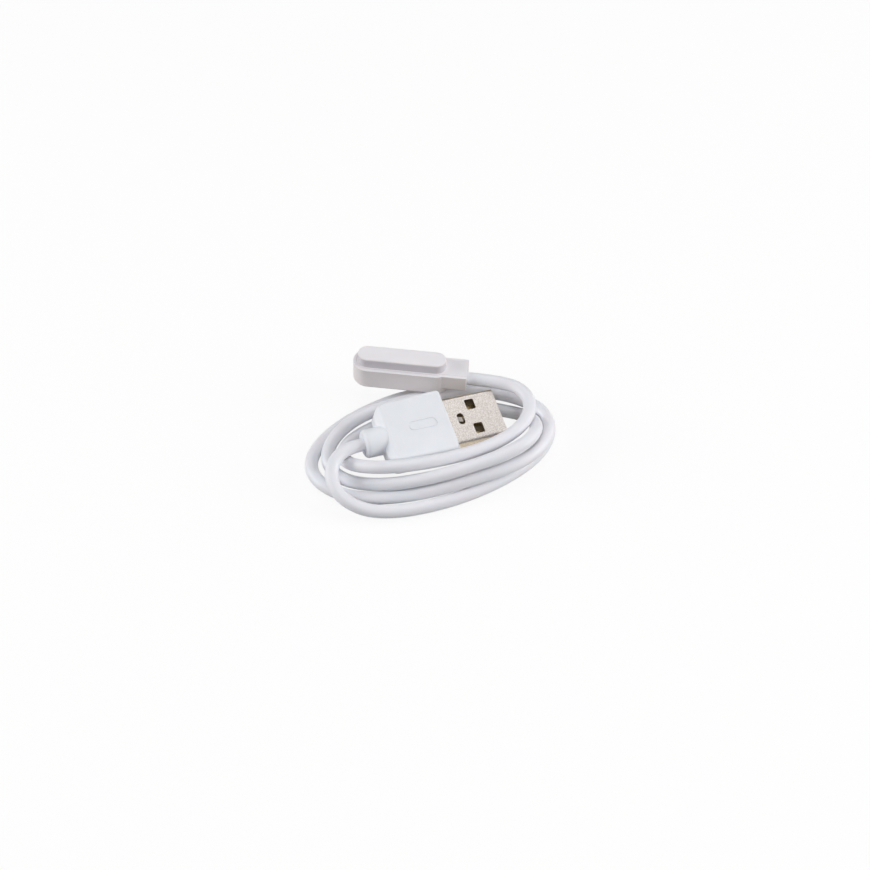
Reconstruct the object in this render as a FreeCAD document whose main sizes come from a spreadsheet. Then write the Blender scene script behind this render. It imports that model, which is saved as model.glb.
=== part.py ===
import FreeCAD, Part
import math
import os
import re
import Sketcher

# Smartwatch charging cable: a USB-A plug, a thin cord lying in loose turns and a magnetic charging head.
# Millimetres and degrees. The floor is z = 0, and x runs from the cord's left turns to its right turns.

SIZES = {
    # cord
    "cord_diameter": 3.0,
    # plug moulding, from the neck's end towards the tip
    "plug_roll": 15.7,
    "neck_diameter": 6.6,
    "neck_length": 4.0,
    "neck_edge": 0.9,
    "mould_length": 16.45,
    "mould_width": 16.2,
    "mould_end_width": 15.2,
    "mould_thickness": 7.2,
    "mould_corner": 1.0,
    "mould_end_corner": 3.0,
    "mould_edge": 0.9,
    "bevel_reach": 1.4,
    "bevel_drop": 2.2,
    "bevel_round": 0.8,
    "mark_length": 7.0,
    "mark_width": 2.6,
    "mark_line": 0.4,
    "mark_depth": 0.15,
    "mark_shift": 1.5,
    # plug shell, folded from sheet
    "shell_width": 12.0,
    "shell_height": 4.5,
    "shell_wall": 0.3,
    "shell_corner": 0.8,
    "shell_reach": 12.55,
    "shell_embed": 6.0,
    "window_across": 2.6,
    "window_along": 2.2,
    "window_pitch": 6.3,
    "window_setback": 5.16,
    "window_corner": 0.3,
    "lance_across": 2.9,
    "lance_along": 1.6,
    "lance_setback": 9.6,
    "tab_width": 1.2,
    "tab_drop": 0.5,
    "tab_gap": 0.3,
    "latch_depth": 1.1,
    "latch_margin": 0.2,
    # plug insulator and its contacts
    "tongue_thickness": 1.9,
    "tongue_setback": 0.6,
    "cavity_depth": 8.7,
    "contact_width": 1.0,
    "contact_thickness": 0.3,
    "contact_proud": 0.1,
    "power_setback": 1.9,
    "data_setback": 2.9,
    "power_pitch": 7.0,
    "data_pitch": 2.0,
    # charging head
    "head_roll": 0.0,
    "head_length": 22.7,
    "head_width": 7.2,
    "head_height": 5.7,
    "head_edge": 0.8,
    "tail_reach": 3.95,
    "tail_width": 6.3,
    "tail_height": 4.0,
    "tail_edge": 0.3,
    "cord_drop": 2.2,
    "cord_offset": 0.8,
    "rim_width": 0.8,
    "cover_thickness": 1.0,
    "parting_edge": 0.12,
    "pad_length": 20.6,
    "pad_width": 4.8,
    "pad_height": 2.4,
    "pad_edge": 0.5,
    "wall_thickness": 1.3,
    "floor_thickness": 1.0,
    # inside the head
    "inner_clearance": 0.3,
    "magnet_length": 3.6,
    "magnet_inset": 1.5,
    "magnet_headroom": 0.6,
    "board_length": 9.0,
    "board_thickness": 0.8,
    "board_headroom": 0.5,
    "pin_pitch": 4.0,
    "pin_reach": 0.9,
    "pin_diameter": 0.9,
    "collar_diameter": 1.2,
    "collar_length": 0.7,
    "pin_clearance": 0.05,
    "barrel_wall": 0.3,
    "barrel_reach": 0.3,
    "flange_width": 0.4,
    "flange_thickness": 0.4,
    "spring_wire": 0.18,
    "spring_turns": 3.5,
}

# The cord's route, from the plug's neck to the head's tail.
ROUTE = [
    # out of the neck, round the left and down to the floor
    (-14.8, -10.55, 7.55), (-18.1, -11.87, 7.93), (-20.9, -14.6, 7.5), (-21.9, -18.0, 6.4),
    (-21.2, -21.4, 5.2), (-18.3, -24.2, 3.7), (-13.4, -25.6, 2.1),
    # first turn, on the floor: front, right, back, left
    (-6.5, -25.2, 1.5), (2.0, -23.05, 1.5), (10.0, -19.7, 1.5), (17.3, -15.3, 1.5),
    (23.6, -9.95, 1.5), (27.2, -4.1, 1.5), (27.9, 1.6, 1.5), (25.6, 6.2, 1.5),
    (19.8, 10.0, 1.5), (11.5, 11.8, 1.5), (2.5, 11.6, 1.5), (-6.5, 9.65, 1.5),
    (-14.8, 5.15, 1.5), (-21.8, -0.6, 1.5), (-26.15, -6.8, 1.5), (-27.1, -12.7, 1.5),
    (-23.9, -17.85, 1.5), (-17.5, -21.25, 1.6),
    # second turn, climbing on to the first at the right
    (-8.8, -21.7, 2.1), (0.2, -20.65, 3.0), (8.8, -18.4, 4.25), (16.8, -15.55, 4.7),
    (23.1, -11.4, 4.6), (26.5, -6.7, 4.6), (27.5, -2.0, 4.6), (26.0, 2.3, 4.5),
    (22.2, 5.6, 4.3), (16.0, 8.8, 3.85), (8.0, 9.6, 3.7), (-1.0, 7.9, 3.6),
    (-9.5, 5.0, 3.7), (-16.6, 1.1, 3.8), (-21.6, -4.2, 3.4), (-23.6, -9.4, 2.4),
    (-21.6, -14.3, 1.6), (-16.5, -17.2, 1.5),
    # third turn, inside the others and under the plug
    (-8.5, -17.45, 1.5), (0.5, -15.1, 1.5), (9.0, -12.2, 1.7), (17.0, -9.0, 2.3),
    (22.4, -5.5, 2.7), (24.7, -1.9, 2.7), (24.4, 1.8, 1.7), (21.6, 4.3, 1.5),
    (17.3, 5.3, 1.5), (10.5, 7.25, 1.5), (2.5, 6.0, 1.5), (-5.5, 3.9, 1.5),
    (-12.5, 0.5, 1.5), (-17.8, -4.1, 2.0), (-19.9, -9.0, 3.0), (-18.7, -13.3, 4.4),
    # last half turn, along the plug's front and over the others to the head
    (-14.6, -16.4, 6.5), (-8.0, -17.9, 8.55), (0.5, -15.9, 8.15), (8.5, -12.2, 6.5),
    (15.5, -8.5, 5.8), (20.6, -4.2, 6.0), (23.0, -0.5, 7.0), (22.95, 3.1, 8.0),
    (20.25, 6.3, 8.65), (14.4, 8.1, 8.68), (8.75, 8.74, 8.8),
]
# Share of the shorter run that an arc takes up at a point of the route.
ARC_SHARE = 0.45
# Tolerance for finding an edge by its place.
NEAR = 0.01

doc = FreeCAD.newDocument("charging_cable")
sheet = doc.addObject("Spreadsheet::Sheet", "Sizes")
for line, (alias, number) in enumerate(SIZES.items(), 1):
    sheet.set("A%d" % line, alias)
    sheet.set("B%d" % line, str(number))
    sheet.setAlias("B%d" % line, alias)
doc.recompute()


def size(text):
    """Value of an expression in the sheet's aliases."""
    return float(sheet.evalExpression(text))


def bound(text):
    """The same expression, as another object of the document reads it."""
    return re.sub(r"[a-z]\w+", lambda word: "Sizes." + word.group(), text)


# Lengths that several pieces share, from the plug's neck end and from the head's tail end
PLUG_FACE = "(neck_length + mould_length)"
PLUG_TIP = "(neck_length + mould_length + shell_reach)"
SHELL_ROOT = "(neck_length + mould_length - shell_embed)"
BORE_HALF = "(shell_height / 2 - shell_wall)"
TONGUE_TOP = "(shell_wall - shell_height / 2 + tongue_thickness)"
TONGUE_HALF = "(shell_width / 2 - shell_corner)"
HEAD_MIDDLE = "(0 - tail_reach - head_length / 2)"
HEAD_FLOOR = "(cord_drop - head_height + floor_thickness)"
COVER_UNDER = "(cord_drop - cover_thickness)"
BARREL_RADIUS = "(collar_diameter / 2 + pin_clearance + barrel_wall)"
CAVITY_HEIGHT = "(head_height - cover_thickness - floor_thickness)"
INNER_WIDTH = "(head_width - 2 * wall_thickness - 2 * inner_clearance)"
MAGNET_PLACE = "(head_length / 2 - wall_thickness - magnet_inset - magnet_length / 2)"


def new_body(label):
    body = doc.addObject("PartDesign::Body", label)
    body.Label = label
    return body


def sketch_on(body, plane, height="0"):
    """A sketch parallel to one of the body's own planes, at a height above it."""
    sketch = body.newObject("Sketcher::SketchObject", "Sketch")
    support = next(item for item in body.Origin.OriginFeatures if item.Role == plane)
    sketch.AttachmentSupport = (support, [""])
    sketch.MapMode = "FlatFace"
    sketch.setExpression("AttachmentOffset.Base.z", bound(height))
    return sketch


def pin_point(sketch, item, point, across, along):
    """Fix a point of a sketch at two expressions, measured from the sketch's origin."""
    for kind, axis, text in (("DistanceX", -2, across), ("DistanceY", -1, along)):
        if text == "0":
            sketch.addConstraint(Sketcher.Constraint("PointOnObject", item, point, axis))
        else:
            index = sketch.addConstraint(Sketcher.Constraint(kind, -1, 1, item, point, size(text)))
            sketch.setExpression("Constraints[%d]" % index, bound(text))


def outline(sketch, corners):
    """A closed outline of straight lines through corners given as expressions."""
    places = [FreeCAD.Vector(size(across), size(along), 0) for across, along in corners]
    first = sketch.GeometryCount
    count = len(corners)
    for index, place in enumerate(places):
        sketch.addGeometry(Part.LineSegment(place, places[(index + 1) % count]), False)
    for index, (across, along) in enumerate(corners):
        following = first + (index + 1) % count
        sketch.addConstraint(Sketcher.Constraint("Coincident", first + index, 2, following, 1))
        pin_point(sketch, first + index, 1, across, along)


def rectangle(sketch, left, right, low, high):
    outline(sketch, [(left, low), (right, low), (right, high), (left, high)])


def circle(sketch, across, along, radius):
    place = FreeCAD.Vector(size(across), size(along), 0)
    item = sketch.addGeometry(Part.Circle(place, FreeCAD.Vector(0, 0, 1), size(radius)), False)
    pin_point(sketch, item, 3, across, along)
    index = sketch.addConstraint(Sketcher.Constraint("Radius", item, size(radius)))
    sketch.setExpression("Constraints[%d]" % index, bound(radius))


def obround(sketch, first_centre, last_centre, radius):
    """A slot outline between two centres, each a pair of expressions, on one of the sketch's axes."""
    start = FreeCAD.Vector(size(first_centre[0]), size(first_centre[1]), 0)
    end = FreeCAD.Vector(size(last_centre[0]), size(last_centre[1]), 0)
    ahead = math.atan2(end.y - start.y, end.x - start.x)
    side = FreeCAD.Vector(-math.sin(ahead), math.cos(ahead), 0) * size(radius)
    quarter = math.pi / 2

    def cap(centre, middle):
        ring = Part.Circle(centre, FreeCAD.Vector(0, 0, 1), size(radius))
        return Part.ArcOfCircle(ring, middle - quarter, middle + quarter)

    last = sketch.addGeometry(cap(end, ahead), False)
    upper = sketch.addGeometry(Part.LineSegment(end + side, start + side), False)
    near = sketch.addGeometry(cap(start, ahead + math.pi), False)
    lower = sketch.addGeometry(Part.LineSegment(start - side, end - side), False)
    ring = [last, upper, near, lower]
    for index, item in enumerate(ring):
        following = ring[(index + 1) % len(ring)]
        sketch.addConstraint(Sketcher.Constraint("Tangent", item, 2, following, 1))
    sketch.addConstraint(Sketcher.Constraint("Equal", last, near))
    pin_point(sketch, last, 3, *last_centre)
    pin_point(sketch, near, 3, *first_centre)
    index = sketch.addConstraint(Sketcher.Constraint("Radius", last, size(radius)))
    sketch.setExpression("Constraints[%d]" % index, bound(radius))


def pad(body, sketch, length, reverse=False, midplane=False):
    feature = body.newObject("PartDesign::Pad", "Pad")
    feature.Profile = sketch
    feature.setExpression("Length", bound(length))
    feature.Reversed = reverse
    feature.Midplane = midplane
    doc.recompute()
    return feature


def pocket(body, sketch, depth=None, reverse=False):
    """Cut a sketch to a depth against its normal, or through everything both ways."""
    before = body.Shape.Volume
    feature = body.newObject("PartDesign::Pocket", "Pocket")
    feature.Profile = sketch
    feature.Reversed = reverse
    if depth is None:
        feature.Type = "ThroughAll"
        feature.Midplane = True
    else:
        feature.setExpression("Length", bound(depth))
    doc.recompute()
    if not body.Shape.Volume < before:
        raise RuntimeError("a pocket of %s cut nothing" % body.Label)
    return feature


def revolve(body, sketch):
    feature = body.newObject("PartDesign::Revolution", "Revolution")
    feature.Profile = sketch
    feature.ReferenceAxis = (sketch, ["V_Axis"])
    feature.Angle = 360.0
    doc.recompute()
    return feature


def soften(body, radius, wanted):
    """Fillet the edges of the body that a test picks."""
    base = body.Tip
    names = ["Edge%d" % index for index, edge in enumerate(base.Shape.Edges, 1) if wanted(edge)]
    feature = body.newObject("PartDesign::Fillet", "Fillet")
    feature.Base = (base, names)
    feature.setExpression("Radius", bound(radius))
    doc.recompute()
    return feature


def flat_at(edge, axis, place):
    """Whether an edge lies all along in the plane where a coordinate has one value."""
    box = edge.BoundBox
    low, high = getattr(box, axis + "Min"), getattr(box, axis + "Max")
    return abs(low - place) < NEAR and abs(high - place) < NEAR


def runs_along(edge, axis):
    """Whether a straight edge is parallel to an axis."""
    box = edge.BoundBox
    longest = getattr(box, axis + "Length")
    return longest > NEAR and abs(longest - edge.Length) < NEAR * NEAR


def plug_mould():
    """The plug's moulding: a tapered slab with a bevelled end and a round neck for the cord."""
    body = new_body("plug_overmold")
    half = "mould_thickness / 2"
    plan = sketch_on(body, "XY_Plane", "0 - " + half)
    outline(plan, [
        ("neck_length", "0 - mould_end_width / 2"), (PLUG_FACE, "0 - mould_width / 2"),
        (PLUG_FACE, "mould_width / 2"), ("neck_length", "mould_end_width / 2"),
    ])
    pad(body, plan, "mould_thickness")
    face, end = size(PLUG_FACE), size("neck_length")
    soften(body, "mould_corner", lambda edge: runs_along(edge, "Z") and flat_at(edge, "X", face))
    soften(body, "mould_end_corner", lambda edge: runs_along(edge, "Z") and flat_at(edge, "X", end))
    bevel = sketch_on(body, "XZ_Plane")
    for sign in ("", "0 - "):
        top = sign + half
        outline(bevel, [
            ("neck_length + bevel_reach", top), ("neck_length - bevel_reach", top),
            ("neck_length - bevel_reach", "%s(%s - 2 * bevel_drop)" % (sign, half)),
        ])
    pocket(body, bevel)
    top, crease = size(half), size("mould_thickness / 2 - bevel_drop")
    soften(body, "bevel_round", lambda edge: flat_at(edge, "X", end)
           and (flat_at(edge, "Z", crease) or flat_at(edge, "Z", -crease)))
    soften(body, "mould_edge", lambda edge: flat_at(edge, "Z", top) or flat_at(edge, "Z", -top))
    neck = sketch_on(body, "YZ_Plane")
    circle(neck, "0", "0", "neck_diameter / 2")
    pad(body, neck, "neck_length + bevel_reach")
    soften(body, "neck_edge", lambda edge: flat_at(edge, "X", 0.0))
    socket = sketch_on(body, "YZ_Plane", PLUG_FACE)
    rectangle(socket, "0 - shell_width / 2", "shell_width / 2", "0 - shell_height / 2", "shell_height / 2")
    pocket(body, socket, "shell_embed")
    mark = sketch_on(body, "XY_Plane", half)
    middle = "neck_length + mould_length / 2 + mark_shift"
    reach = "(mark_length - mark_width) / 2"
    for shrink in ("0", "mark_line"):
        obround(mark, (middle + " - " + reach, "0"), (middle + " + " + reach, "0"), "mark_width / 2 - " + shrink)
    pocket(body, mark, "mark_depth")
    return body


def plug_shell():
    """The plug's shell: a folded tube with two pairs of latch windows and a lanced hole."""
    body = new_body("usb_shell")
    section = sketch_on(body, "YZ_Plane", SHELL_ROOT)
    for shrink in ("0", "shell_wall"):
        across, high = "(shell_width / 2 - %s)" % shrink, "(shell_height / 2 - %s)" % shrink
        rectangle(section, "0 - " + across, across, "0 - " + high, high)
    pad(body, section, "shell_embed + shell_reach")
    outer, inner = size("shell_width / 2"), size("shell_width / 2 - shell_wall")
    for half, radius in ((outer, "shell_corner"), (inner, "shell_corner - shell_wall")):
        soften(body, radius, lambda edge: runs_along(edge, "X")
               and (flat_at(edge, "Y", half) or flat_at(edge, "Y", -half)))
    windows = sketch_on(body, "XY_Plane")
    front = PLUG_TIP + " - window_setback"
    for sign in ("", "0 - "):
        middle = sign + "window_pitch / 2"
        rectangle(windows, front + " - window_along", front,
                  middle + " - window_across / 2", middle + " + window_across / 2")
    pocket(body, windows)
    low, high = size(front + " - window_along"), size(front)
    soften(body, "window_corner", lambda edge: runs_along(edge, "Z")
           and (flat_at(edge, "X", low) or flat_at(edge, "X", high)))
    lance = sketch_on(body, "XY_Plane", "shell_height / 2")
    place = PLUG_TIP + " - lance_setback"
    reach = "(lance_across - lance_along) / 2"
    obround(lance, (place, "0 - " + reach), (place, reach), "lance_along / 2")
    pocket(body, lance, "shell_wall")
    tab = sketch_on(body, "XZ_Plane")
    hinge, end = place + " - lance_along / 2", place + " + lance_along / 2 - tab_gap"
    top = "shell_height / 2"
    outline(tab, [
        (hinge, top), (hinge, top + " - shell_wall"),
        (end, top + " - shell_wall - tab_drop"), (end, top + " - tab_drop"),
    ])
    pad(body, tab, "tab_width", midplane=True)
    return body


def contact_section(sketch, middle):
    """Cross-section of one contact strip, seated in the tongue's upper face."""
    top = TONGUE_TOP + " + contact_proud"
    rectangle(sketch, middle + " - contact_width / 2", middle + " + contact_width / 2",
              top + " - contact_thickness", top)


# Each contact: its label, its place across the plug and how far it stays back from the tip
CONTACTS = [
    ("usb_contact_1", "0 - power_pitch / 2", "power_setback"),
    ("usb_contact_2", "0 - data_pitch / 2", "data_setback"),
    ("usb_contact_3", "data_pitch / 2", "data_setback"),
    ("usb_contact_4", "power_pitch / 2", "power_setback"),
]


def plug_insulator():
    """The plug's insulator: a block at the back of the shell with a tongue along its lower side."""
    body = new_body("usb_insulator")
    side = sketch_on(body, "XZ_Plane")
    low = "0 - " + BORE_HALF
    front, step = PLUG_TIP + " - tongue_setback", PLUG_TIP + " - cavity_depth"
    outline(side, [
        (SHELL_ROOT, low), (front, low), (front, TONGUE_TOP),
        (step, TONGUE_TOP), (step, BORE_HALF), (SHELL_ROOT, BORE_HALF),
    ])
    pad(body, side, "2 * " + TONGUE_HALF, midplane=True)
    latch = sketch_on(body, "XY_Plane", BORE_HALF)
    place = PLUG_TIP + " - lance_setback"
    rectangle(latch, place + " - lance_along / 2 - latch_margin", place + " + lance_along / 2 + latch_margin",
              "0 - lance_across / 2 - latch_margin", "lance_across / 2 + latch_margin")
    pocket(body, latch, "latch_depth")
    for label, middle, setback in CONTACTS:
        groove = sketch_on(body, "YZ_Plane", PLUG_TIP + " - " + setback)
        contact_section(groove, middle)
        pocket(body, groove, "%s - %s - %s" % (PLUG_TIP, setback, SHELL_ROOT))
    return body


def plug_contact(label, middle, setback):
    body = new_body(label)
    section = sketch_on(body, "YZ_Plane", SHELL_ROOT)
    contact_section(section, middle)
    pad(body, section, "%s - %s - %s" % (PLUG_TIP, setback, SHELL_ROOT))
    return body


def head_slot(sketch, length, width):
    """An obround about the head's middle."""
    reach = "(%s - %s) / 2" % (length, width)
    obround(sketch, (HEAD_MIDDLE + " - " + reach, "0"), (HEAD_MIDDLE + " + " + reach, "0"), width + " / 2")


def pin_places():
    return [HEAD_MIDDLE + " - pin_pitch / 2", HEAD_MIDDLE + " + pin_pitch / 2"]


def head_housing():
    """The head's housing: an obround tray with a tail for the cord and holes for the two pins."""
    body = new_body("head_housing")
    tray = sketch_on(body, "XY_Plane", "cord_drop")
    head_slot(tray, "head_length", "head_width")
    pad(body, tray, "head_height", reverse=True)
    under = size("cord_drop - head_height")
    soften(body, "head_edge", lambda edge: flat_at(edge, "Z", under))
    tail = sketch_on(body, "XY_Plane", "cord_drop")
    rectangle(tail, HEAD_MIDDLE, "0", "0 - tail_width / 2", "tail_width / 2")
    pad(body, tail, "tail_height", reverse=True)
    side, foot = size("tail_width / 2"), size("cord_drop - tail_height")
    soften(body, "tail_edge", lambda edge: (flat_at(edge, "Y", side) or flat_at(edge, "Y", -side))
           and (runs_along(edge, "Z") or flat_at(edge, "Z", foot)))
    recess = sketch_on(body, "XY_Plane", "cord_drop")
    head_slot(recess, "(head_length - 2 * rim_width)", "(head_width - 2 * rim_width)")
    pocket(body, recess, "cover_thickness")
    channel = sketch_on(body, "XY_Plane", "cord_drop")
    rectangle(channel, HEAD_MIDDLE, "0", "rim_width - tail_width / 2", "tail_width / 2 - rim_width")
    pocket(body, channel, "cover_thickness")
    top = size("cord_drop")
    soften(body, "parting_edge", lambda edge: flat_at(edge, "Z", top) and not flat_at(edge, "X", 0.0))
    cavity = sketch_on(body, "XY_Plane", COVER_UNDER)
    head_slot(cavity, "(head_length - 2 * wall_thickness)", "(head_width - 2 * wall_thickness)")
    pocket(body, cavity, CAVITY_HEIGHT)
    holes = sketch_on(body, "XY_Plane", HEAD_FLOOR)
    for place in pin_places():
        circle(holes, place, "0", BARREL_RADIUS)
    pocket(body, holes, "floor_thickness")
    return body


def head_cover():
    """The head's cover: a plate let into the housing, with the raised pad that is gripped."""
    body = new_body("head_cover")
    plate = sketch_on(body, "XY_Plane", COVER_UNDER)
    head_slot(plate, "(head_length - 2 * rim_width)", "(head_width - 2 * rim_width)")
    pad(body, plate, "cover_thickness")
    strip = sketch_on(body, "XY_Plane", COVER_UNDER)
    rectangle(strip, HEAD_MIDDLE, "0", "rim_width - tail_width / 2", "tail_width / 2 - rim_width")
    pad(body, strip, "cover_thickness")
    face = size("cord_drop")
    soften(body, "parting_edge", lambda edge: flat_at(edge, "Z", face) and not flat_at(edge, "X", 0.0))
    raised = sketch_on(body, "XY_Plane", "cord_drop")
    head_slot(raised, "pad_length", "pad_width")
    pad(body, raised, "pad_height")
    top = size("cord_drop + pad_height")
    soften(body, "pad_edge", lambda edge: flat_at(edge, "Z", top))
    return body


def head_block(label, middle, low, length, width, height):
    """A plain block inside the head."""
    body = new_body(label)
    plan = sketch_on(body, "XY_Plane", low)
    rectangle(plan, middle + " - %s / 2" % length, middle + " + %s / 2" % length,
              "0 - %s / 2" % width, "%s / 2" % width)
    pad(body, plan, height)
    return body


# Heights of a contact pin's pieces, measured from the head's underside along the pin
LIP_TOP = "(barrel_wall - barrel_reach)"
COLLAR_FOOT = "(barrel_wall - barrel_reach + pin_clearance)"
BARREL_TOP = "(head_height - cover_thickness - board_headroom - board_thickness)"
BORE_TOP = "(head_height - cover_thickness - board_headroom - board_thickness - barrel_wall)"
SPRING_FOOT = "(barrel_wall - barrel_reach + pin_clearance + collar_length)"


def pin_barrel(label):
    """A pin's barrel: a closed tube with a flange on the head's floor and a lip at its mouth."""
    body = new_body(label)
    bore = "(collar_diameter / 2 + pin_clearance)"
    lip = "(pin_diameter / 2 + pin_clearance)"
    flange = "(collar_diameter / 2 + pin_clearance + barrel_wall + flange_width)"
    half = sketch_on(body, "XZ_Plane")
    outline(half, [
        (lip, "0 - barrel_reach"), (BARREL_RADIUS, "0 - barrel_reach"), (BARREL_RADIUS, "floor_thickness"),
        (flange, "floor_thickness"), (flange, "floor_thickness + flange_thickness"),
        (BARREL_RADIUS, "floor_thickness + flange_thickness"), (BARREL_RADIUS, BARREL_TOP), ("0", BARREL_TOP),
        ("0", BORE_TOP), (bore, BORE_TOP), (bore, LIP_TOP), (lip, LIP_TOP),
    ])
    revolve(body, half)
    return body


def pin_plunger(label):
    """A pin's plunger: a round-tipped pin with a collar that the barrel's lip holds."""
    body = new_body(label)
    half = sketch_on(body, "XZ_Plane")
    outline(half, [
        ("0", "0 - barrel_reach - pin_reach"), ("pin_diameter / 2", "0 - barrel_reach - pin_reach"),
        ("pin_diameter / 2", COLLAR_FOOT), ("collar_diameter / 2", COLLAR_FOOT),
        ("collar_diameter / 2", SPRING_FOOT), ("0", SPRING_FOOT),
    ])
    revolve(body, half)
    tip = size("0 - barrel_reach - pin_reach")
    soften(body, "pin_diameter / 3", lambda edge: flat_at(edge, "Z", tip))
    return body


def pin_spring(label):
    """A pin's spring, wound between the plunger's collar and the end of the barrel's bore."""
    body = new_body(label)
    wire = sketch_on(body, "XZ_Plane")
    circle(wire, "collar_diameter / 2 - spring_wire", SPRING_FOOT + " + spring_wire / 2", "spring_wire / 2")
    coil = body.newObject("PartDesign::AdditiveHelix", "Coil")
    coil.Profile = wire
    coil.ReferenceAxis = (wire, ["V_Axis"])
    coil.Mode = "height-turns-angle"
    coil.setExpression("Height", bound("%s - %s - spring_wire" % (BORE_TOP, SPRING_FOOT)))
    coil.setExpression("Turns", bound("spring_turns"))
    doc.recompute()
    return body


def cord():
    """The cord as one tube: straight runs joined by arcs as large as the runs allow."""
    points = [FreeCAD.Vector(*place) for place in ROUTE]
    radius = size("cord_diameter / 2")
    edges, radii = [], []
    here = points[0]
    for before, corner, after in zip(points, points[1:], points[2:]):
        back, on = before - corner, after - corner
        trim = ARC_SHARE * min(back.Length, on.Length)
        back.normalize()
        on.normalize()
        half_turn = (math.pi - back.getAngle(on)) / 2
        radii.append(trim / math.tan(half_turn))
        inward = (back + on).normalize()
        middle = corner + inward * (radii[-1] / math.cos(half_turn) - radii[-1])
        start, end = corner + back * trim, corner + on * trim
        edges += [Part.LineSegment(here, start).toShape(), Part.Arc(start, middle, end).toShape()]
        here = end
    edges.append(Part.LineSegment(here, points[-1]).toShape())
    path = Part.Wire(edges)
    ring = Part.Wire(Part.makeCircle(radius, points[0], points[1] - points[0]))
    piece = doc.addObject("Part::Feature", "cord")
    piece.Label = "cord"
    piece.Shape = path.makePipeShell([ring], True, False)
    expected = math.pi * radius ** 2 * path.Length
    print("cord length %.1f, volume over section times length %.5f"
          % (path.Length, piece.Shape.Volume / expected))
    print("cord arc radii", [round(value, 1) for value in radii])
    return piece


def along(start, towards, roll):
    """Placement with its origin at a point and its x axis away from another, rolled about that axis."""
    ahead = start - towards
    up = FreeCAD.Vector(0, 0, 1)
    turn = FreeCAD.Rotation(ahead, FreeCAD.Vector(), up, "XZY")
    return FreeCAD.Placement(start, turn * FreeCAD.Rotation(FreeCAD.Vector(1, 0, 0), roll))


points = [FreeCAD.Vector(*place) for place in ROUTE]
plug_place = along(points[0], points[1], size("plug_roll"))
head_place = along(points[-1], points[-1] + points[-1] - points[-2], size("head_roll"))
head_place = head_place * FreeCAD.Placement(FreeCAD.Vector(0, size("cord_offset"), 0), FreeCAD.Rotation())

plug_pieces = [plug_mould(), plug_shell(), plug_insulator()]
plug_pieces += [plug_contact(*contact) for contact in CONTACTS]
for piece in plug_pieces:
    piece.Placement = plug_place

head_pieces = [head_housing(), head_cover()]
for side, sign in (("left", " - "), ("right", " + ")):
    head_pieces.append(head_block("magnet_" + side, HEAD_MIDDLE + sign + MAGNET_PLACE, HEAD_FLOOR,
                                  "magnet_length", INNER_WIDTH, CAVITY_HEIGHT + " - magnet_headroom"))
head_pieces.append(head_block("pin_board", HEAD_MIDDLE, "cord_drop - head_height + " + BARREL_TOP,
                              "board_length", INNER_WIDTH, "board_thickness"))
for piece in head_pieces:
    piece.Placement = head_place

pin_pieces = []
for number, place in enumerate(pin_places(), 1):
    foot = FreeCAD.Vector(size(place), 0, size("cord_drop - head_height"))
    for make, label in ((pin_barrel, "pin_barrel"), (pin_plunger, "pin_plunger"), (pin_spring, "pin_spring")):
        piece = make("%s_%d" % (label, number))
        piece.Placement = head_place * FreeCAD.Placement(foot, FreeCAD.Rotation())
        pin_pieces.append(piece)

pieces = plug_pieces + head_pieces + pin_pieces + [cord()]
doc.recompute()

for item in doc.Objects:
    if "Invalid" in item.State or "Error" in item.State:
        raise RuntimeError("%s failed: %s" % (item.Label, item.State))
for piece in pieces:
    if piece.Shape.isNull() or not piece.Shape.isValid() or len(piece.Shape.Solids) != 1:
        raise RuntimeError("%s is not one valid solid" % piece.Label)

os.makedirs("parts", exist_ok=True)
for piece in pieces:
    piece.Shape.exportStep("parts/%s.step" % piece.Label)
    box = piece.Shape.BoundBox
    print("%-16s volume %8.2f  x %6.2f %6.2f  y %6.2f %6.2f  z %6.2f %6.2f" % (
        piece.Label, piece.Shape.Volume, box.XMin, box.XMax, box.YMin, box.YMax, box.ZMin, box.ZMax))
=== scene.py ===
import math

import bpy
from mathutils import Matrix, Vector


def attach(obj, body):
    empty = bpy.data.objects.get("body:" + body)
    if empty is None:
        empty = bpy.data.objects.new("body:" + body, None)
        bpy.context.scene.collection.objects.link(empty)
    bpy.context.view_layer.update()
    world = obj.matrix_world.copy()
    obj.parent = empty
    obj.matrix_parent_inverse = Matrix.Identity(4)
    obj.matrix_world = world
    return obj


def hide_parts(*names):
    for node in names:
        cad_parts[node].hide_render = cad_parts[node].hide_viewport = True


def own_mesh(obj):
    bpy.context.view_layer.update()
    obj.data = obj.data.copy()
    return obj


# Smartwatch charging cable: looks of its plug, cord and charging head. Metres.

MM = 0.001

# Camera: the photograph's view, from in front and above
VIEW_ELEVATION = math.radians(48.0)
VIEW_DISTANCE = 450 * MM
VIEW_TARGET = Vector((1.3, -0.9, 0.0)) * MM
VIEW_LENS = 80.63
VIEW_NEAREST = 10 * MM

# Floor: its width, its white, the lift to plain white where it is seen, and what it throws back
FLOOR_SIZE = 40.0
FLOOR_WHITE = 0.95
FLOOR_ROUGHNESS = 0.8
FLOOR_LIFT = 0.88
FLOOR_BOUNCE = 0.4

# Light: a dim surround, and soft lights with their places, widths, heights and powers
SURROUND_STRENGTH = 0.05
SOFTBOXES = [
    ("left", (-0.74, 0.0, 0.30), 0.5, 0.4, 4.0),
    ("right", (0.73, -0.06, 0.32), 0.5, 0.4, 4.1),
    ("front", (0.0, -0.62, 0.52), 0.8, 0.4, 1.2),
    ("high", (0.0, -0.25, 0.80), 0.6, 0.4, 1.2),
    ("overhead", (0.28, 0.26, 0.81), 0.75, 0.75, 1.2),
    ("back", (0.0, 0.45, 0.68), 0.6, 0.4, 0.75),
]

# Ways that surfaces face: level ones, and the front narrow wall of the plug
UP = Vector((0.0, 0.0, 1.0))
PLUG_FRONT = Vector((0.331, -0.905, -0.269))

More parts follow.
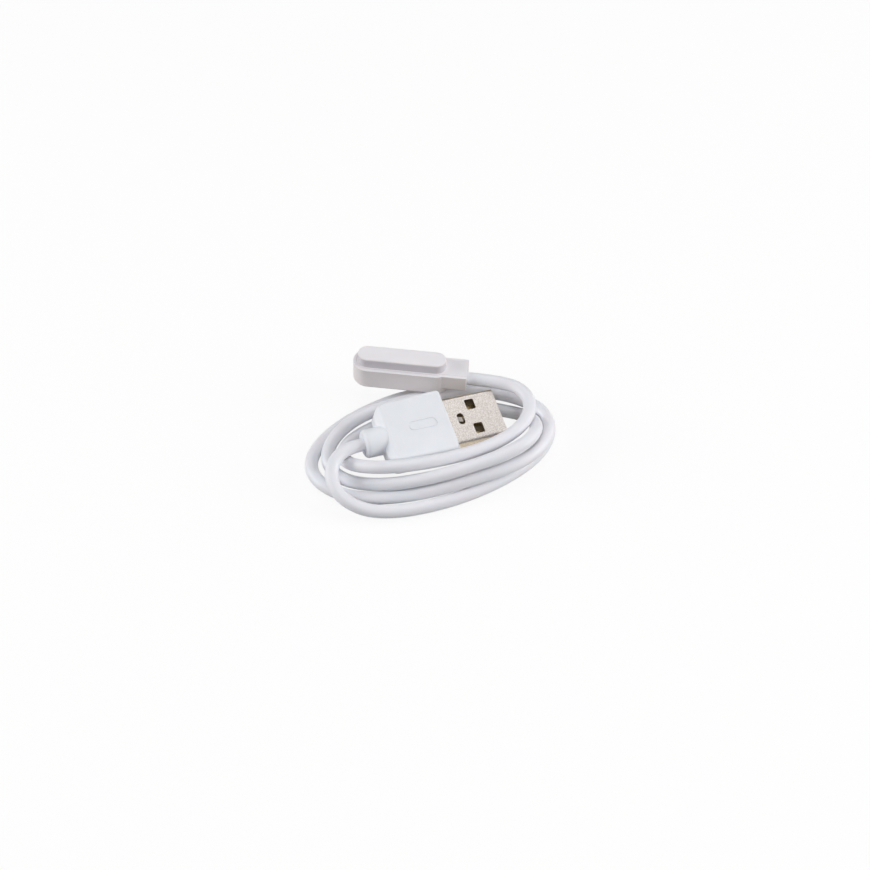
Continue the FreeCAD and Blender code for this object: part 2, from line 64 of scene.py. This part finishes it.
# Noise: its middle value, and the values between which most of it lies
NOISE_MIDDLE = 0.5
NOISE_LOW, NOISE_HIGH = 0.3, 0.7

# White plastic: how far red, green and blue light spread under its skin
GLOW_RADIUS = (1.0, 0.75, 0.65)

# Cord: its curve, and its route in millimetres from the plug's neck to the head's tail
CORD_DIAMETER = 3.0 * MM
CORD_ORDER = 3
CORD_STEPS = 10
CORD_ROUNDNESS = 8
ROUTE = [
    # out of the neck, round the left and down to the floor
    (-14.8, -10.55, 7.55), (-18.1, -11.87, 7.93), (-20.9, -14.6, 7.5), (-21.9, -18.0, 6.4),
    (-21.2, -21.4, 5.2), (-18.3, -24.2, 3.7), (-13.4, -25.6, 2.1),
    # first turn, on the floor: front, right, back, left
    (-6.5, -25.2, 1.5), (2.0, -23.05, 1.5), (10.0, -19.7, 1.5), (17.3, -15.3, 1.5),
    (23.6, -9.95, 1.5), (27.2, -4.1, 1.5), (27.9, 1.6, 1.5), (25.6, 6.2, 1.5),
    (19.8, 10.0, 1.5), (11.5, 11.8, 1.5), (2.5, 11.6, 1.5), (-6.5, 9.65, 1.5),
    (-14.8, 5.15, 1.5), (-21.8, -0.6, 1.5), (-26.15, -6.8, 1.5), (-27.1, -12.7, 1.5),
    (-23.9, -17.85, 1.5), (-17.5, -21.25, 1.6),
    # second turn, climbing on to the first at the right
    (-8.8, -21.5, 1.8), (0.2, -20.65, 3.0), (8.8, -18.4, 4.25), (16.8, -15.55, 4.7),
    (23.1, -11.4, 4.6), (26.5, -6.7, 4.6), (27.5, -2.0, 4.6), (26.2, 2.37, 4.57),
    (22.4, 5.75, 4.43), (16.0, 8.8, 3.85), (8.0, 9.6, 3.7), (-1.0, 7.9, 3.6),
    (-9.5, 5.0, 3.7), (-16.6, 1.1, 3.8), (-21.6, -4.2, 3.4), (-23.6, -9.4, 2.4),
    (-21.6, -14.3, 1.6), (-16.5, -17.6, 2.15),
    # third turn, up on the second at the right, then down under the plug
    (-8.5, -20.1, 4.75), (0.5, -19.3, 6.15), (8.9, -17.15, 7.3), (16.75, -14.0, 8.05),
    (22.05, -10.5, 8.3), (24.35, -6.6, 7.9), (24.2, -1.45, 5.5), (21.65, 3.9, 1.8),
    (16.45, 5.55, 1.5), (10.5, 7.25, 1.5), (2.5, 6.0, 1.5), (-5.5, 3.9, 1.5),
    (-12.5, 0.5, 1.5), (-17.8, -4.1, 2.0), (-19.9, -9.0, 3.0), (-18.7, -13.3, 4.4),
    # last half turn, along the plug's front and over the others to the head
    (-14.6, -16.4, 6.5), (-8.0, -18.1, 8.4), (0.5, -16.15, 7.95), (8.5, -13.15, 7.3),
    (15.4, -10.1, 7.6), (20.5, -6.15, 8.15), (22.85, -2.5, 9.25), (22.85, 1.5, 9.8),
    (20.2, 5.5, 9.55), (14.4, 8.1, 8.68), (8.75, 8.74, 8.8),
]

# Head: the numbers of its pins
PIN_NUMBERS = (1, 2)

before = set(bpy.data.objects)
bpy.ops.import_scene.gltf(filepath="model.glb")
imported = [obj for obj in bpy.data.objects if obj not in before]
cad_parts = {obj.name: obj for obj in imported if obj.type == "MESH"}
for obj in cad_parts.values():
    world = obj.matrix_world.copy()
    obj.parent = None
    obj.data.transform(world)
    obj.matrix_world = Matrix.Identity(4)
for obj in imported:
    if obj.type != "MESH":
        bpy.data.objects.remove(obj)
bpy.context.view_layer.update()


def new_material(name, colour, roughness, metallic=0.0):
    """A material and its shader, with the values that are the same all over."""
    material = bpy.data.materials.new(name)
    material.use_nodes = True
    shader = material.node_tree.nodes["Principled BSDF"]
    shader.inputs["Base Color"].default_value = (*colour, 1.0)
    shader.inputs["Roughness"].default_value = roughness
    shader.inputs["Metallic"].default_value = metallic
    return material, shader


def noise(material, grain, detail=2.0):
    """Noise over the object whose grains are about the given length."""
    nodes, links = material.node_tree.nodes, material.node_tree.links
    place = nodes.new("ShaderNodeTexCoord")
    texture = nodes.new("ShaderNodeTexNoise")
    texture.inputs["Scale"].default_value = 1.0 / grain
    texture.inputs["Detail"].default_value = detail
    links.new(place.outputs["Object"], texture.inputs["Vector"])
    return texture.outputs["Fac"]


def shade(material, shader, value, low, high, spread=0.2):
    """Let the colour wander between two colours with a noise, faster with a narrower spread."""
    nodes, links = material.node_tree.nodes, material.node_tree.links
    ramp = nodes.new("ShaderNodeValToRGB")
    first, last = ramp.color_ramp.elements
    first.position = NOISE_MIDDLE - spread
    last.position = NOISE_MIDDLE + spread
    first.color = (*low, 1.0)
    last.color = (*high, 1.0)
    links.new(value, ramp.inputs["Fac"])
    links.new(ramp.outputs["Color"], shader.inputs["Base Color"])


def facing(material, direction, start, end):
    """How far the surface faces a direction: 0 until start, 1 from end on."""
    nodes, links = material.node_tree.nodes, material.node_tree.links
    place = nodes.new("ShaderNodeTexCoord")
    along = nodes.new("ShaderNodeVectorMath")
    along.operation = "DOT_PRODUCT"
    along.inputs[1].default_value = direction
    links.new(place.outputs["Normal"], along.inputs[0])
    spread = nodes.new("ShaderNodeMapRange")
    spread.inputs["From Min"].default_value = start
    spread.inputs["From Max"].default_value = end
    links.new(along.outputs["Value"], spread.inputs["Value"])
    return spread.outputs["Result"]


def tint(material, shader, share, colour):
    """Multiply the colour so far by another one, as much as the share says."""
    nodes, links = material.node_tree.nodes, material.node_tree.links
    mix = nodes.new("ShaderNodeMixRGB")
    mix.blend_type = "MULTIPLY"
    mix.inputs["Color2"].default_value = (*colour, 1.0)
    links.new(share, mix.inputs["Fac"])
    links.new(shader.inputs["Base Color"].links[0].from_socket, mix.inputs["Color1"])
    links.new(mix.outputs["Color"], shader.inputs["Base Color"])


def gloss(material, shader, value, low, high):
    """Let the roughness wander between two values with a noise."""
    nodes, links = material.node_tree.nodes, material.node_tree.links
    spread = nodes.new("ShaderNodeMapRange")
    spread.inputs["From Min"].default_value = NOISE_LOW
    spread.inputs["From Max"].default_value = NOISE_HIGH
    spread.inputs["To Min"].default_value = low
    spread.inputs["To Max"].default_value = high
    links.new(value, spread.inputs["Value"])
    links.new(spread.outputs["Result"], shader.inputs["Roughness"])


def emboss(material, shader, value, depth, strength):
    """Raise the surface by a noise, as deep as given."""
    nodes, links = material.node_tree.nodes, material.node_tree.links
    bump = nodes.new("ShaderNodeBump")
    bump.inputs["Distance"].default_value = depth
    bump.inputs["Strength"].default_value = strength
    links.new(value, bump.inputs["Height"])
    links.new(bump.outputs["Normal"], shader.inputs["Normal"])


def glow_through(shader, weight, depth):
    """Let light spread a little under the skin of a white plastic, red the furthest."""
    shader.inputs["Subsurface Weight"].default_value = weight
    shader.inputs["Subsurface Scale"].default_value = depth
    shader.inputs["Subsurface Radius"].default_value = GLOW_RADIUS


def moulded_white():
    """Grip of the plug: cool white, with the fine grain of an eroded mould."""
    material, shader = new_material("moulded_white", (0.80, 0.82, 0.86), roughness=0.5)
    shade(material, shader, noise(material, grain=6 * MM),
          low=(0.79, 0.81, 0.85), high=(0.82, 0.84, 0.88))
    gloss(material, shader, noise(material, grain=0.5 * MM), low=0.42, high=0.56)
    emboss(material, shader, noise(material, grain=0.22 * MM, detail=3.0),
           depth=0.03 * MM, strength=0.6)
    glow_through(shader, weight=0.2, depth=0.5 * MM)
    return material


def satin_jacket():
    """Jacket of the cord: a satin white elastomer with a faint skin."""
    material, shader = new_material("satin_jacket", (0.82, 0.82, 0.865), roughness=0.42)
    shade(material, shader, noise(material, grain=9 * MM),
          low=(0.80, 0.815, 0.86), high=(0.84, 0.83, 0.87))
    gloss(material, shader, noise(material, grain=1.2 * MM), low=0.36, high=0.48)
    emboss(material, shader, noise(material, grain=0.6 * MM), depth=0.02 * MM, strength=0.3)
    glow_through(shader, weight=0.3, depth=0.6 * MM)
    return material


def satin_head(name, painted_wall_shade):
    """Pieces of the head: a satin white, with a painted warm glow on every surface that turns
    from level, and painted shade on the steep walls.
    """
    material, shader = new_material(name, (0.82, 0.80, 0.83), roughness=0.62)
    shader.inputs["Specular IOR Level"].default_value = 0.3
    shade(material, shader, noise(material, grain=7 * MM),
          low=(0.805, 0.785, 0.815), high=(0.835, 0.815, 0.845))
    # Painted shade: steep walls are multiplied by the given colour, deep on the cover and next
    # to nothing on the housing.
    tint(material, shader, facing(material, UP, start=0.75, end=0.45), colour=painted_wall_shade)
    # Painted glow: every surface that turns from level is warmed a little, standing in for light
    # shining through the edges.
    tint(material, shader, facing(material, UP, start=0.98, end=0.85),
         colour=(1.0, 0.975, 0.94))
    gloss(material, shader, noise(material, grain=0.7 * MM), low=0.55, high=0.7)
    emboss(material, shader, noise(material, grain=0.3 * MM, detail=3.0),
           depth=0.02 * MM, strength=0.4)
    glow_through(shader, weight=0.2, depth=0.5 * MM)
    return material


def blasted_nickel():
    """Shell of the plug: warm nickel on finely blasted sheet, with painted shade on its front
    narrow wall and a painted dark reflection along its back fold.
    """
    material, shader = new_material("blasted_nickel", (0.80, 0.74, 0.71),
                                    roughness=0.36, metallic=1.0)
    shade(material, shader, noise(material, grain=0.3 * MM, detail=4.0),
          low=(0.68, 0.61, 0.56), high=(0.92, 0.87, 0.84), spread=0.16)
    # Painted shade: the front narrow wall, which faces away from the light above, is darkened to
    # a deep beige.
    tint(material, shader, facing(material, PLUG_FRONT, start=0.7, end=0.95),
         colour=(0.77, 0.70, 0.56))
    # Painted reflection: a dark olive band along the back fold, standing in for the shadowed
    # cord and floor mirrored in the curved edge.
    tint(material, shader, facing(material, -PLUG_FRONT, start=0.15, end=0.45),
         colour=(0.60, 0.54, 0.42))
    gloss(material, shader, noise(material, grain=0.4 * MM), low=0.28, high=0.42)
    emboss(material, shader, noise(material, grain=0.28 * MM, detail=3.0),
           depth=0.06 * MM, strength=0.9)
    return material


def dark_insulator():
    """Insulator of the plug: a matt dark brown moulding."""
    material, shader = new_material("dark_insulator", (0.20, 0.155, 0.09), roughness=0.6)
    shade(material, shader, noise(material, grain=1 * MM),
          low=(0.18, 0.14, 0.08), high=(0.22, 0.17, 0.10))
    emboss(material, shader, noise(material, grain=0.2 * MM), depth=0.02 * MM, strength=0.5)
    return material


def gold_flash():
    """Contacts and pins: thin gold over nickel."""
    material, shader = new_material("gold_flash", (0.70, 0.55, 0.29),
                                    roughness=0.3, metallic=1.0)
    shade(material, shader, noise(material, grain=0.8 * MM),
          low=(0.66, 0.51, 0.26), high=(0.74, 0.59, 0.33))
    gloss(material, shader, noise(material, grain=0.3 * MM), low=0.24, high=0.38)
    return material


def bright_nickel():
    """Magnets and springs: bright plating with a faint haze."""
    material, shader = new_material("bright_nickel", (0.72, 0.72, 0.73),
                                    roughness=0.2, metallic=1.0)
    shade(material, shader, noise(material, grain=1.5 * MM),
          low=(0.68, 0.68, 0.69), high=(0.76, 0.76, 0.77))
    gloss(material, shader, noise(material, grain=0.5 * MM), low=0.14, high=0.28)
    return material


def green_board():
    """Pin board: green solder mask."""
    material, shader = new_material("green_board", (0.03, 0.18, 0.08), roughness=0.35)
    shade(material, shader, noise(material, grain=0.8 * MM),
          low=(0.025, 0.15, 0.065), high=(0.035, 0.21, 0.095))
    gloss(material, shader, noise(material, grain=0.4 * MM), low=0.28, high=0.42)
    return material


def dress(material, *names):
    """Give a material to carried-over nodes."""
    for name in names:
        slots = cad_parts[name].data.materials
        slots.clear()
        slots.append(material)


def lay_cord(material):
    """The cord: one smooth curve along its route, from neck to tail."""
    curve = bpy.data.curves.new("cord_jacket", "CURVE")
    curve.dimensions = "3D"
    curve.bevel_depth = CORD_DIAMETER / 2
    curve.bevel_resolution = CORD_ROUNDNESS
    curve.use_fill_caps = True
    curve.resolution_u = CORD_STEPS
    spline = curve.splines.new("NURBS")
    spline.points.add(len(ROUTE) - 1)
    for point, place in zip(spline.points, ROUTE):
        point.co = (*(Vector(place) * MM), 1.0)
    spline.order_u = CORD_ORDER
    spline.use_endpoint_u = True
    curve.materials.append(material)
    cord = bpy.data.objects.new("cord_jacket", curve)
    bpy.context.collection.objects.link(cord)
    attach(cord, "cable")
    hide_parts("cord")


def wind_spring(number, material):
    """A pin's spring: its carried-over coil in an object of its own, with the given material."""
    node = "pin_spring_%d" % number
    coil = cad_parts[node].data.copy()
    coil.materials.clear()
    coil.materials.append(material)
    spring = bpy.data.objects.new("spring_coil_%d" % number, coil)
    bpy.context.collection.objects.link(spring)
    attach(spring, "cable")
    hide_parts(node)
    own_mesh(spring)


def set_camera():
    """The camera: square to the front of the turns, looking down on them."""
    camera = bpy.data.objects.new("camera", bpy.data.cameras.new("camera"))
    camera.data.lens = VIEW_LENS
    camera.data.clip_start = VIEW_NEAREST
    back = Vector((0.0, -math.cos(VIEW_ELEVATION), math.sin(VIEW_ELEVATION)))
    camera.location = VIEW_TARGET + back * VIEW_DISTANCE
    camera.rotation_euler = (math.pi / 2 - VIEW_ELEVATION, 0.0, 0.0)
    bpy.context.collection.objects.link(camera)
    bpy.context.scene.camera = camera


def add_softbox(name, place, width, height, power):
    """A soft light that faces the object."""
    light = bpy.data.lights.new(name, "AREA")
    light.shape = "RECTANGLE"
    light.size = width
    light.size_y = height
    light.energy = power
    lamp = bpy.data.objects.new(name, light)
    lamp.location = place
    lamp.rotation_euler = (VIEW_TARGET - Vector(place)).to_track_quat("-Z", "Y").to_euler()
    bpy.context.collection.objects.link(lamp)


def white_floor():
    """Floor: matt white, lifted towards plain white where it is seen, with the shadow kept."""
    material, shader = new_material("floor_white", [FLOOR_WHITE] * 3, FLOOR_ROUGHNESS)
    nodes, links = material.node_tree.nodes, material.node_tree.links
    rays = nodes.new("ShaderNodeLightPath")
    seen = rays.outputs["Is Camera Ray"]
    for other in ("Is Glossy Ray", "Is Transmission Ray"):
        either = nodes.new("ShaderNodeMath")
        either.operation = "MAXIMUM"
        links.new(seen, either.inputs[0])
        links.new(rays.outputs[other], either.inputs[1])
        seen = either.outputs["Value"]
    tone = nodes.new("ShaderNodeMapRange")
    tone.inputs["To Min"].default_value = FLOOR_BOUNCE
    tone.inputs["To Max"].default_value = FLOOR_WHITE
    links.new(seen, tone.inputs["Value"])
    links.new(tone.outputs["Result"], shader.inputs["Base Color"])
    share = nodes.new("ShaderNodeMath")
    share.operation = "MULTIPLY"
    share.inputs[1].default_value = FLOOR_LIFT
    links.new(seen, share.inputs[0])
    glow = nodes.new("ShaderNodeEmission")
    mix = nodes.new("ShaderNodeMixShader")
    links.new(share.outputs["Value"], mix.inputs["Fac"])
    links.new(shader.outputs["BSDF"], mix.inputs[1])
    links.new(glow.outputs["Emission"], mix.inputs[2])
    links.new(mix.outputs["Shader"], nodes["Material Output"].inputs["Surface"])
    return material


def set_stage():
    """A plain white floor, a dim white surround and soft lights."""
    bpy.ops.mesh.primitive_plane_add(size=FLOOR_SIZE, location=(0.0, 0.0, 0.0))
    floor = bpy.context.object
    floor.name = "floor"
    floor.data.materials.append(white_floor())
    world = bpy.data.worlds.new("surround")
    world.use_nodes = True
    background = world.node_tree.nodes["Background"]
    background.inputs["Color"].default_value = (1.0, 1.0, 1.0, 1.0)
    background.inputs["Strength"].default_value = SURROUND_STRENGTH
    bpy.context.scene.world = world
    for name, place, width, height, power in SOFTBOXES:
        add_softbox(name, place, width, height, power)
    bpy.context.scene.view_settings.view_transform = "Standard"


dress(moulded_white(), "plug_overmold")
dress(blasted_nickel(), "usb_shell")
dress(dark_insulator(), "usb_insulator")
dress(satin_head("satin_housing", painted_wall_shade=(1.0, 0.99, 0.99)), "head_housing")
dress(satin_head("satin_cover", painted_wall_shade=(0.82, 0.82, 0.86)), "head_cover")
dress(green_board(), "pin_board")
plating = bright_nickel()
dress(plating, "magnet_left", "magnet_right")
for pin_number in PIN_NUMBERS:
    wind_spring(pin_number, plating)
dress(gold_flash(), "usb_contact_1", "usb_contact_2", "usb_contact_3", "usb_contact_4",
      "pin_barrel_1", "pin_barrel_2", "pin_plunger_1", "pin_plunger_2")
lay_cord(satin_jacket())
set_camera()
set_stage()
